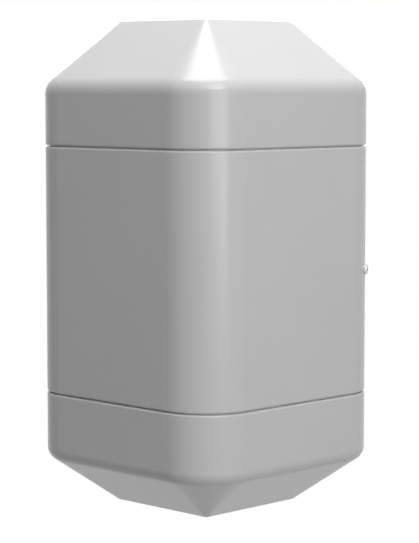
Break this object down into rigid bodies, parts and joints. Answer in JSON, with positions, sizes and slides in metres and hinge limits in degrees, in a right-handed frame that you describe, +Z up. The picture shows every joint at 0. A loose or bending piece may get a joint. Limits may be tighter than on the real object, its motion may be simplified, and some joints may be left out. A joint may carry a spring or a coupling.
{
  "type": "yagi antenna",
  "caption": "Yagi antenna closed in a square plastic housing with pyramid-shaped ends, on a tilting bracket with a mast clamp and a coax socket in its base.",
  "frame": {"origin": "on the mast's axis, at the middle of the clamp's height", "axes": "+Z up along the mast; -Y is the way the antenna looks; +X to the right seen from the front of the view along +Y"},
  "size_m": [0.2, 0.2706, 0.375],
  "materials": {
    "housing_plastic": "smooth moulded UV-stable plastic, satin gloss, very pale grey",
    "seal_rubber": "black EPDM rubber, matt",
    "glass_fibre_rod": "pultruded glass fibre, satin, pale straw",
    "stainless": "A4 stainless steel, fine brushed",
    "sheet_aluminium": "mill-finish aluminium sheet and tube",
    "element_aluminium": "drawn aluminium rod, smooth",
    "cast_aluminium": "die-cast aluminium, fine grain",
    "black_plastic": "black nylon, fine texture",
    "box_plastic": "mid-grey moulded ABS",
    "circuit_board": "green solder mask",
    "terminal_brass": "turned brass",
    "plated_metal": "bright nickel plate",
    "white_insulator": "white PTFE",
    "coax_jacket": "black PE coax jacket, smooth"
  },
  "bodies": {
    "mast_clamp": {"mast_bracket": "stainless", "mast_saddle": "cast_aluminium", "pivot_bolts": "stainless", "lock_bolts": "stainless", "ear_washers": "stainless", "ear_nuts": "stainless", "u_bolt_washers": "stainless", "u_bolt_nuts": "stainless"},
    "antenna": {"radome_body": "housing_plastic", "top_cap": "housing_plastic", "bottom_cap": "housing_plastic", "upper_seal": "seal_rubber", "lower_seal": "seal_rubber", "base_screw_seals": "seal_rubber", "socket_seal": "seal_rubber", "rear_pad": "seal_rubber", "tie_rods": "glass_fibre_rod", "base_screws": "stainless", "corner_screws": "stainless", "boom_foot_screws": "stainless", "lid_screws": "stainless", "bracket_bolts": "stainless", "bracket_washers": "stainless", "bracket_nuts": "stainless", "housing_bracket": "stainless", "rear_plate": "sheet_aluminium", "boom_foot": "sheet_aluminium", "boom": "sheet_aluminium", "reflector": "element_aluminium", "director_1": "element_aluminium", "director_2": "element_aluminium", "director_3": "element_aluminium", "folded_dipole": "element_aluminium", "element_bushes": "black_plastic", "dipole_clamp": "black_plastic", "coax_gland": "black_plastic", "vent_plug": "black_plastic", "feed_box": "box_plastic", "feed_box_lid": "box_plastic", "balun_board": "circuit_board", "feed_terminals": "terminal_brass", "socket_contact": "terminal_brass", "coax_socket": "plated_metal", "socket_nut": "plated_metal", "socket_insulator": "white_insulator", "coax_jumper": "coax_jacket"},
    "u_bolt": {"u_bolt": "stainless"}
  },
  "joints": [
    {"name": "elevation_tilt", "type": "hinge", "parent": "mast_clamp", "child": "antenna", "pos_m": [0, -0.0347, 0], "axis": [1, 0, 0], "range_deg": [-12, 12]},
    {"name": "u_bolt_slide", "type": "slide", "parent": "mast_clamp", "child": "u_bolt", "axis": [0, 1, 0], "range_m": [0, 0.012]}
  ]
}
